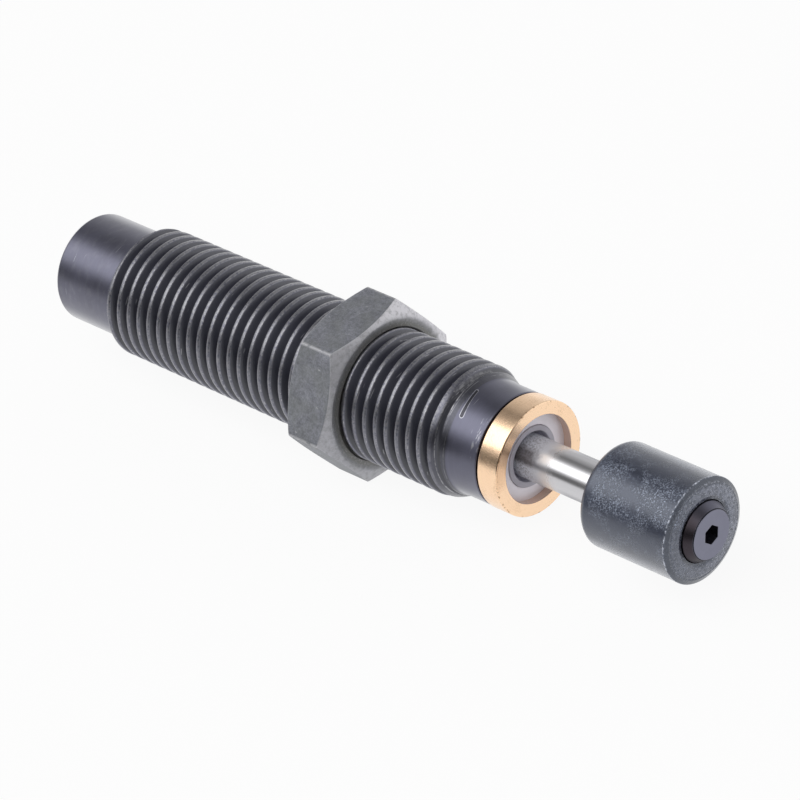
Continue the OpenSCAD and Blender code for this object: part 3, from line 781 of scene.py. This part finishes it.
def bumper_rubber():
    """Shiny blue-black rubber with a patchy dusting and pale grains painted as glints under the softbox, a
    painted sheen along its side and a ragged, paler front rim.
    """
    p = Paint("bumper_rubber", (0.009, 0.012, 0.029), 0.0, 0.34)
    p.coat(0.6, 0.24)
    p.bsdf.inputs["IOR"].default_value = 1.85
    p.bsdf.inputs["Specular Tint"].default_value = (0.74, 0.82, 1.0, 1)
    grain = p.noise(7.0, 4.0, rough=0.65)
    cloud = p.noise(0.42, 4.0)
    p.tint(cloud, 0.30)
    # Painted glints: pale grains painted thickly in the band under the softbox, over a thin, patchy dusting
    # elsewhere.
    facing_up = p.times(p.band(p.turn(), 98.0, 146.0, 12.0), p.ramp(p.x, BUMPER_BACK, BUMPER_BACK + 2.0))
    glint_patches = p.times(facing_up, p.noise(0.5, 3.0, low=0.36, high=0.56))
    thin = p.times(p.noise(0.38, 3.0, low=0.44, high=0.66), 0.35)
    dust_and_glint_cover = p.math("MAXIMUM", glint_patches, thin)
    dust_and_glints = p.times(p.noise(6.5, 4.0, rough=0.65, low=0.46, high=0.64), dust_and_glint_cover)
    p.blend(p.times(dust_and_glints, 0.90), (0.46, 0.52, 0.66))
    on_side = p.ramp(p.r, BUMPER_R - 0.12, BUMPER_R - 0.04)
    flash = p.times(on_side, p.band(p.x, BUMPER_FRONT - 0.50, BUMPER_FRONT - 0.36, 0.04))
    p.blend(p.times(flash, p.noise(3.4, 5.0, low=0.42, high=0.62)), (0.60, 0.63, 0.72))
    fine, gate = paint_bumper_front(p)
    p.rough(cloud, 0.23, 0.33)
    # Painted sheen: the side is painted paler where it is seen edge on.
    p.blend(p.times(p.facing(0.58, 0.90), p.times(on_side, 0.6)), (0.40, 0.42, 0.49))
    p.bump(grain, 0.026).bump(dust_and_glints, 0.035).bump(gate, 0.03).bump(fine, 0.03)
    return p.done()


def button_steel():
    """Dark turned steel: a smooth grey face inside a fine dark line, and brownish painted shade on its
    side.
    """
    p = Paint("button_steel", (0.207, 0.210, 0.270), 1.0, 0.36)
    lines = p.noise(1.0, 3.0, p.around_axis(6.0, 6.0, 1.5))
    cloud = p.noise(0.8, 4.0)
    p.tint(cloud, 0.08).tint(lines, 0.05)
    side = p.ramp(p.x, BUTTON_FRONT - 0.14, BUTTON_FRONT - 0.09, 1.0, 0.0)
    # Painted shade on the side of the button, darker towards -Y.
    shaded = p.times(side, p.ramp(p.y, -1.8, 1.2, 0.9, 0.3))
    p.blend(shaded, (0.040, 0.030, 0.033))
    step = p.band(p.x, BUTTON_FRONT - 0.11, BUTTON_FRONT - 0.03, 0.01)
    p.blend(p.times(step, 0.9), (0.012, 0.012, 0.014))
    p.rough(lines, 0.32, 0.42)
    p.bump(lines, 0.002)
    return p.done()


def foam():
    """Closed-cell foam."""
    p = Paint("foam", (0.045, 0.045, 0.048), 0.0, 0.8)
    cells = p.specks(2.5, 0.25)
    p.tint(p.noise(0.8, 3.0), 0.2)
    p.blend(p.times(cells, 0.7), (0.012, 0.012, 0.013))
    p.bump(p.math("SUBTRACT", 1.0, cells), 0.05)
    return p.done()


# ---------------------------------------------------------------------------------- pieces

def make_body(material):
    undercut_r = REAR_END_R - UNDERCUT_DEPTH
    thread_start = THREAD_BACK + RIM_WIDTH
    run_out = THREAD_FRONT + 0.25
    outline = rounded([
        [thread_start, RIM_R, 0],
        [THREAD_BACK, RIM_R, 0.06],
        [THREAD_BACK, undercut_r, 0.04],
        [THREAD_BACK - UNDERCUT_WIDTH, undercut_r, 0.04],
        [THREAD_BACK - UNDERCUT_WIDTH, REAR_END_R, 0.05],
        [BODY_BACK, REAR_END_R, 0.35],
        [BODY_BACK, PLUG_HOLE_R, 0.12],
        [BODY_BACK + PLUG_HOLE_DEPTH, PLUG_HOLE_R, 0.05],
        [BODY_BACK + PLUG_HOLE_DEPTH, PASSAGE_R, 0.05],
        [BODY_BACK + END_WALL, PASSAGE_R, 0.05],
        [BODY_BACK + END_WALL, BORE_R, 0.2],
        [BODY_FRONT, BORE_R, 0.05],
        [BODY_FRONT, SPIGOT_R, 0.05],
        [LAND_FRONT, SPIGOT_R, 0.03],
        [LAND_FRONT, LAND_R, 0.12],
        [run_out, LAND_R, 0],
    ], loop=False)
    thread = thread_rings(thread_start, THREAD_FRONT, body_envelope, AROUND)

    def end_of_thread(x):
        return ring(x, np.minimum(thread_radius(x, AROUND), body_envelope(x)), AROUND)

    back_step = [ring(thread_start, RIM_R, AROUND), end_of_thread(thread_start)]
    front_step = [end_of_thread(THREAD_FRONT), ring(run_out, LAND_R, AROUND)]
    bands = [lathe(outline), thread, back_step, front_step]
    return finish_mesh("threaded_body", bands, "cylinder", material, ["outer_body"])


def nut_angles():
    """Angles round the nut, crowded at its corners."""
    near = [0.15, 0.4, 0.7, 1.0, 1.5, 2.2, 3.2, 4.6, 6.5, 9, 12, 15.5, 19, 23, 27]
    angles = set()
    for corner in range(0, 361, 60):
        angles.add(float(corner))
        angles.update(corner + a for a in near)
        angles.update(corner - a for a in near)
        angles.add(corner + 30.0)
    return np.radians(sorted(a for a in angles if 0 <= a <= 360))


def hexagon_radius(angle, flat_r, corner_round):
    """Radius of a hexagon with a flat square to Z and slightly rounded corners."""
    off = np.abs((np.degrees(angle) + 30) % 60 - 30)
    off = np.radians(off)
    flat = flat_r / np.cos(math.radians(30) - off)
    centre = (flat_r - corner_round) / math.cos(math.radians(30))
    inside = np.clip(corner_round ** 2 - (centre * np.sin(off)) ** 2, 0, None)
    arc = centre * np.cos(off) + np.sqrt(inside)
    touch = math.atan2(corner_round * 0.5, centre + corner_round * math.cos(math.radians(30)))
    return np.where(off < touch, arc, flat)


def make_nut(material):
    around = nut_angles()
    hexagon = hexagon_radius(around, NUT_FLAT_R, NUT_CORNER_ROUND)
    bevel = 0.05
    sink_depth = 0.10

    def side(face_x, inwards):
        """Rings from the countersink over the face and the chamfer to the flat."""
        depth = (hexagon - NUT_FACE_R) * NUT_CHAMFER_SLOPE
        steps = [
            (sink_depth, NUT_SINK_R - sink_depth),
            (0.03, NUT_SINK_R - 0.02),
            (0, NUT_SINK_R + 0.02),
            (0, NUT_SINK_R + 0.06),
            (0, NUT_FACE_R - 0.375),
            (0, NUT_FACE_R - 0.175),
            (0, NUT_FACE_R - 0.03),
        ]
        width = hexagon - NUT_FACE_R
        steps += [(share * depth, NUT_FACE_R + width * share) for share in (0.03, 0.3, 0.6, 0.9)]
        steps += [
            (depth - 0.4 * bevel, hexagon - bevel),
            (depth + bevel, hexagon),
            (depth + 3 * bevel, hexagon),
        ]
        return [ring(face_x + inwards * below, r, around) for below, r in steps]

    back = side(NUT_BACK, 1)
    front = side(NUT_FRONT, -1)
    flats = [back[-1] + (front[-1] - back[-1]) * share for share in np.linspace(0, 1, 7)]
    outside = back + flats[1:-1] + front[::-1]

    def sink(x):
        to_face = np.minimum(x - NUT_BACK, NUT_FRONT - x)
        return NUT_SINK_R - sink_depth - NUT_SINK_SLOPE * (to_face - sink_depth)

    ends = NUT_BACK + sink_depth, NUT_FRONT - sink_depth
    inside = thread_rings(*ends, sink, around, THREAD_PLAY, outer=False)
    return finish_mesh("hexagon_nut", [outside, inside], "locking_nut", material, ["lock_nut"])


def make_collar(material):
    outline = rounded([
        [COLLAR_BACK, COLLAR_SOCKET_R, 0.04],
        [COLLAR_BACK, COLLAR_R, 0.10],
        [COLLAR_FRONT, COLLAR_R, 0.16],
        [COLLAR_FRONT, COLLAR_HOLE_R, 0.10],
        [DISC_FRONT, COLLAR_HOLE_R, 0.03],
        [DISC_FRONT, COLLAR_SOCKET_R, 0.03],
    ])
    return finish_mesh("collar_ring", [lathe(outline)], "cylinder", material, ["stop_collar"])


def make_disc(material):
    outline = rounded([
        [DISC_BACK, DISC_HOLE_R],
        [DISC_BACK, DISC_R],
        [DISC_FRONT, DISC_R, 0.12],
        [DISC_FRONT, DISC_HOLE_R],
    ], radius=0.03)
    return finish_mesh("gland_disc", [lathe(outline)], "cylinder", material, ["retaining_disc"])


def make_wiper(material):
    mouth_floor = WIPER_FRONT - WIPER_MOUTH_DEPTH
    lip = mouth_floor - (WIPER_MOUTH_R - ROD_R)
    outline = rounded([
        [WIPER_BACK, WIPER_LIP_R + 0.15, 0.05],
        [WIPER_BACK, WIPER_SEAT_R, 0.08],
        [DISC_BACK, WIPER_SEAT_R, 0.05],
        [DISC_BACK, WIPER_NECK_R, 0],
        [WIPER_FRONT, WIPER_NECK_R, 0.07],
        [WIPER_FRONT, WIPER_MOUTH_R, 0.12],
        [mouth_floor, WIPER_MOUTH_R, 0.05],
        [lip, WIPER_LIP_R, 0.03],
        [lip - WIPER_LIP_LEN, WIPER_LIP_R, 0.03],
    ])
    return finish_mesh("wiper_ring", [lathe(outline)], "cylinder", material, ["rod_wiper"])


def make_rod(material):
    outline = rounded([
        [ROD_BACK, 0, 0],
        [ROD_BACK, ROD_STUD_R],
        [BUSH_BACK - REST_GAP, ROD_STUD_R, 0.03],
        [BUSH_BACK - REST_GAP, ROD_R, 0.12],
        [BUTTON_BACK, ROD_R, 0.10],
        [BUTTON_BACK, ROD_STUD_R, 0.03],
        [ROD_FRONT, ROD_STUD_R],
        [ROD_FRONT, 0, 0],
    ], radius=0.15, loop=False)
    bands = [lathe(outline, AROUND_SMALL)]
    return finish_mesh("chromed_rod", bands, "plunger", material, ["piston_rod"])


def make_bumper(material):
    rod_hole_r = ROD_R + RUBBER_ROOM
    pocket_r = BUTTON_FLANGE_R + FIXED_FIT
    pocket_back = BUTTON_BACK - FIXED_FIT
    pocket_front = BUTTON_BACK + BUTTON_FLANGE_T + FIXED_FIT
    outline = rounded([
        [BUMPER_BACK, rod_hole_r, 0.1],
        [BUMPER_BACK, BUMPER_R - 0.02, 0.7],
        [FLASH_X - 0.16, BUMPER_R - 0.02, 0.02],
        [FLASH_X - 0.03, BUMPER_R, 0.03],
        [FLASH_X + 0.05, BUMPER_R - 0.01, 0.03],
        [BUMPER_FRONT - 0.13, BUMPER_R - 0.50, 0.10],
        [BUMPER_FRONT - 0.14, BUMPER_R - 0.66, 0.08],
        [BUMPER_FRONT - 0.08, BUMPER_R - 0.80, 0.20],
        [BUMPER_FRONT - 0.01, BUMPER_MOUTH_R + 0.65, 0.30],
        [BUMPER_FRONT - 0.01, BUMPER_MOUTH_R + 0.35, 0.15],
        [BUMPER_FRONT - 0.07, BUMPER_MOUTH_R + 0.20, 0.10],
        [BUMPER_FRONT - 0.12, BUMPER_LIP_R, 0.04],
        [BUMPER_FRONT - 0.32, BUMPER_LIP_R, 0.04],
        [BUMPER_FRONT - 0.42, BUMPER_MOUTH_R, 0.04],
        [pocket_front, BUMPER_MOUTH_R, 0.03],
        [pocket_front, pocket_r, 0.03],
        [pocket_back, pocket_r, 0.03],
        [pocket_back, rod_hole_r, 0.05],
    ])
    return finish_mesh("rubber_bumper", [lathe(outline)], "plunger", material, ["bumper"])


def hex_socket(x_face, depth, across, rim_r, around, facing=1, turned=0.0):
    """Rings from a round rim on a face into a chamfered hexagon socket with a drilled floor."""
    hexagon = hexagon_radius(around - math.radians(turned), across / 2, 0.02)
    corner_r = across / 2 / math.cos(math.radians(30)) + 0.12
    steps = [
        (0, rim_r),
        (0, corner_r),
        (0, hexagon + 0.05),
        (0.015, hexagon + 0.02),
        (0.05, hexagon),
        (0.12, hexagon),
        (depth - 0.05, hexagon),
        (depth, hexagon * 0.97),
        (depth + 0.25 * across, 0),
    ]
    return [ring(x_face - facing * below, r, around) for below, r in steps]


def make_button(material):
    rim_r = BUTTON_R - 0.35
    stud_hole_r = ROD_STUD_R + FIXED_FIT
    outline = rounded([
        [ROD_FRONT + FIXED_FIT, 0, 0],
        [ROD_FRONT + FIXED_FIT, stud_hole_r, 0.05],
        [BUTTON_BACK, stud_hole_r, 0.05],
        [BUTTON_BACK, BUTTON_FLANGE_R, 0.15],
        [BUTTON_BACK + BUTTON_FLANGE_T, BUTTON_FLANGE_R, 0.15],
        [BUTTON_BACK + BUTTON_FLANGE_T, BUTTON_NECK_R, 0.05],
        [BUMPER_FRONT, BUTTON_NECK_R, 0.08],
        [BUTTON_FRONT - 0.10, BUTTON_R, 0.03],
        [BUTTON_FRONT - 0.10, BUTTON_R - 0.07, 0.02],
        [BUTTON_FRONT, BUTTON_R - 0.10, 0.03],
        [BUTTON_FRONT, rim_r, 0],
    ], loop=False)
    socket = hex_socket(BUTTON_FRONT, SOCKET_DEPTH, SOCKET_AF, rim_r, AROUND, turned=SOCKET_TURN)
    bands = [lathe(outline), socket]
    return finish_mesh("button_face", bands, "plunger", material, ["strike_button"])


def make_plug(material):
    around = nut_angles()
    outline = rounded([
        [PLUG_FRONT, 0, 0],
        [PLUG_FRONT, PLUG_R, 0.3],
        [PLUG_BACK, PLUG_R, 0.18],
        [PLUG_BACK, PLUG_RIM_R, 0],
    ], loop=False)
    socket = hex_socket(PLUG_BACK, PLUG_SOCKET_DEPTH, PLUG_SOCKET_AF, PLUG_RIM_R, around, facing=-1)
    bands = [lathe(outline, around), socket]
    return finish_mesh("socket_plug", bands, "cylinder", material, ["fill_plug"])


def make_spring(material):
    """Round wire with closed end turns, along the same line as the CAD spring."""
    steps, sides = 40, 12
    coil_r = SPRING_R - WIRE_R
    length = SPRING_FRONT - SPRING_BACK - 2 * WIRE_R
    closed = 2 * WIRE_R * 1.02
    opened = (length - 2 * closed) / (SPRING_TURNS - 2)
    across = np.linspace(0, 2 * math.pi, sides + 1)
    r = coil_r + WIRE_R * np.cos(across)
    rings = []
    for i in range(SPRING_TURNS * steps + 1):
        turn = i / steps
        if turn < 1:
            rise = turn * closed
        elif turn > SPRING_TURNS - 1:
            rise = length - (SPRING_TURNS - turn) * closed
        else:
            rise = closed + (turn - 1) * opened
        angle = 2 * math.pi * turn
        x = SPRING_BACK + WIRE_R + rise + WIRE_R * np.sin(across)
        rings.append(np.stack([x, r * math.cos(angle), r * math.sin(angle)], 1))
    first, last = [np.repeat(rings[k].mean(0)[None], sides + 1, 0) for k in (0, -1)]
    bands = [[first] + rings + [last]]
    piece = finish_mesh("coil_spring", bands, "cylinder", material, ["return_spring"])
    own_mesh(piece)
    return piece


# ---------------------------------------------------------------------------------- stage

def pale_floor():
    """Matt grey that takes the shadow, under the white that the camera and the metal see."""
    mat = bpy.data.materials.new("pale_floor")
    mat.use_nodes = True
    tree = mat.node_tree
    bsdf = tree.nodes["Principled BSDF"]
    bsdf.inputs["Base Color"].default_value = (FLOOR_GREY, FLOOR_GREY, FLOOR_GREY, 1)
    bsdf.inputs["Roughness"].default_value = 0.9
    bsdf.inputs["Specular IOR Level"].default_value = 0.0
    white = tree.nodes.new("ShaderNodeEmission")
    white.inputs["Color"].default_value = (1, 1, 1, 1)
    white.inputs["Strength"].default_value = 1.0
    path = tree.nodes.new("ShaderNodeLightPath").outputs
    mirrored = add_math(tree, "MAXIMUM", path["Is Glossy Ray"], path["Is Transmission Ray"])
    seen = add_math(tree, "MAXIMUM", path["Is Camera Ray"], mirrored)
    mix = tree.nodes.new("ShaderNodeMixShader")
    tree.links.new(add_math(tree, "MULTIPLY", seen, FLOOR_WHITE), mix.inputs["Fac"])
    tree.links.new(bsdf.outputs[0], mix.inputs[1])
    tree.links.new(white.outputs[0], mix.inputs[2])
    tree.links.new(mix.outputs[0], tree.nodes["Material Output"].inputs["Surface"])
    return mat


def make_floor():
    """One flat square under the object."""
    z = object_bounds()[0][2]
    corners = [(-FLOOR_HALF, -FLOOR_HALF, z), (FLOOR_HALF, -FLOOR_HALF, z),
               (FLOOR_HALF, FLOOR_HALF, z), (-FLOOR_HALF, FLOOR_HALF, z)]
    mesh = bpy.data.meshes.new("studio_floor")
    mesh.from_pydata(corners, [], [(0, 1, 2, 3)])
    floor = bpy.data.objects.new("studio_floor", mesh)
    bpy.context.scene.collection.objects.link(floor)
    mesh.materials.append(pale_floor())


def studio_ramp(tree, turn):
    """Grey of the studio from the share of a turn round the X axis."""
    ramp = tree.nodes.new("ShaderNodeValToRGB")
    ramp.color_ramp.interpolation = "EASE"
    tree.links.new(turn, ramp.inputs[0])
    stops = ramp.color_ramp.elements
    while len(stops) > 1:
        stops.remove(stops[-1])
    for i, (degrees, level) in enumerate(STUDIO):
        stop = stops[0] if i == 0 else stops.new(degrees / 360)
        stop.position = degrees / 360
        stop.color = (level, level, level, 1)
    return ramp.outputs["Color"]


def make_world():
    """White to the camera. What the metal mirrors is a light tent with darker gaps."""
    world = bpy.data.worlds.new("studio")
    bpy.context.scene.world = world
    world.use_nodes = True
    tree = world.node_tree
    shade = tree.nodes["Background"]
    way = tree.nodes.new("ShaderNodeTexCoord").outputs["Generated"]
    split = tree.nodes.new("ShaderNodeSeparateXYZ")
    tree.links.new(way, split.inputs[0])
    angle = add_math(tree, "ARCTAN2", split.outputs["Z"], split.outputs["Y"])
    share = add_math(tree, "MULTIPLY", angle, 1 / (2 * math.pi))
    color = studio_ramp(tree, add_math(tree, "WRAP", share, 1.0, 0.0))
    for middle, low, high, level in STUDIO_SPOTS:
        near = tree.nodes.new("ShaderNodeVectorMath")
        near.operation = "DOT_PRODUCT"
        near.inputs[1].default_value = Vector(middle).normalized()
        tree.links.new(way, near.inputs[0])
        scaled = tree.nodes.new("ShaderNodeVectorMath")
        scaled.operation = "SCALE"
        tree.links.new(color, scaled.inputs[0])
        put(tree, scaled.inputs["Scale"], smooth_step(tree, near.outputs["Value"], low, high, 1.0, level))
        color = scaled.outputs["Vector"]
    path = tree.nodes.new("ShaderNodeLightPath")
    pick = tree.nodes.new("ShaderNodeMix")
    pick.data_type = "RGBA"
    tree.links.new(path.outputs["Is Camera Ray"], pick.inputs["Factor"])
    tree.links.new(color, pick.inputs["A"])
    pick.inputs["B"].default_value = (1, 1, 1, 1)
    tree.links.new(pick.outputs["Result"], shade.inputs["Color"])
    shade.inputs["Strength"].default_value = 1.0


def placed(x_way, y_way, z_way, spot):
    """Matrix that puts an object at a spot, with its own axes along three ways."""
    rows = [(x_way[i], y_way[i], z_way[i], spot[i]) for i in range(3)]
    return Matrix(rows + [(0, 0, 0, 1)])


def make_softbox():
    """A long soft light over the rod and parallel to it."""
    light = bpy.data.lights.new("top_softbox", "AREA")
    light.shape = "RECTANGLE"
    light.size = SOFTBOX_LENGTH
    light.size_y = SOFTBOX_WIDTH
    light.energy = SOFTBOX_LEVEL * math.pi * SOFTBOX_WIDTH * SOFTBOX_LENGTH
    lamp = bpy.data.objects.new("top_softbox", light)
    turn = math.radians(SOFTBOX_TURN)
    outward = Vector((0, math.cos(turn), math.sin(turn)))
    along = Vector((1, 0, 0))
    spot = outward * SOFTBOX_DISTANCE + along * SOFTBOX_X
    lamp.matrix_world = placed(along, outward.cross(along), outward, spot)
    bpy.context.scene.collection.objects.link(lamp)


def make_camera():
    camera = bpy.data.cameras.new("camera")
    camera.sensor_width = 36.0
    camera.lens = CAMERA_LENS
    camera.clip_start = 0.01
    camera.clip_end = 20.0
    seat = bpy.data.objects.new("camera", camera)
    right = Vector(CAMERA_RIGHT).normalized()
    back = Vector(CAMERA_BACK).normalized()
    up = back.cross(right).normalized()
    right = up.cross(back).normalized()
    seat.matrix_world = placed(right, up, back, CAMERA_SPOT)
    bpy.context.scene.collection.objects.link(seat)
    bpy.context.scene.camera = seat


# ---------------------------------------------------------------------------------- build

def dress_inner_nodes():
    """Finishes for the CAD nodes that are kept as they are."""
    finishes = {
        "seal_washer": turned_metal("washer_steel", (0.52, 0.53, 0.54), 0.30),
        "rod_seal": rubber("seal_rubber", (0.30, 0.085, 0.055), 0.40),
        "rod_bearing": turned_metal("bearing_bronze", (0.66, 0.45, 0.24), 0.28),
        "bearing_o_ring": rubber("o_ring_rubber", (0.022, 0.022, 0.025), 0.35, grain_depth=0.004),
        "foam_accumulator": foam(),
        "pressure_tube": turned_metal("tube_steel", (0.48, 0.49, 0.51), 0.26),
        "tube_end_cap": turned_metal("cap_steel", (0.44, 0.45, 0.46), 0.32),
        "piston_shoulder": turned_metal("shoulder_steel", (0.50, 0.51, 0.53), 0.25),
        "check_ring": turned_metal("check_ring_iron", (0.33, 0.30, 0.27), 0.35, cloudiness=0.2),
        "piston_head": turned_metal("piston_steel", (0.50, 0.51, 0.53), 0.25),
        "fill_ball": turned_metal("ball_steel", (0.66, 0.66, 0.68), 0.10, line_depth=0.0005),
    }
    for node, material in finishes.items():
        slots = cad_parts[node].data.materials
        slots.clear()
        slots.append(material)


make_body(black_oxide())
make_nut(nut_steel())
make_collar(gold())
make_disc(disc_steel())
make_wiper(rubber("wiper_rubber", (0.56, 0.54, 0.61), 0.42, grain_depth=0.006))
make_rod(chrome())
make_bumper(bumper_rubber())
make_button(button_steel())
make_plug(turned_metal("plug_steel", (0.10, 0.10, 0.115), 0.35))
make_spring(turned_metal("spring_steel", (0.55, 0.56, 0.58), 0.30))
dress_inner_nodes()

make_floor()
make_world()
make_softbox()
make_camera()

view = bpy.context.scene.view_settings
view.view_transform = "Standard"
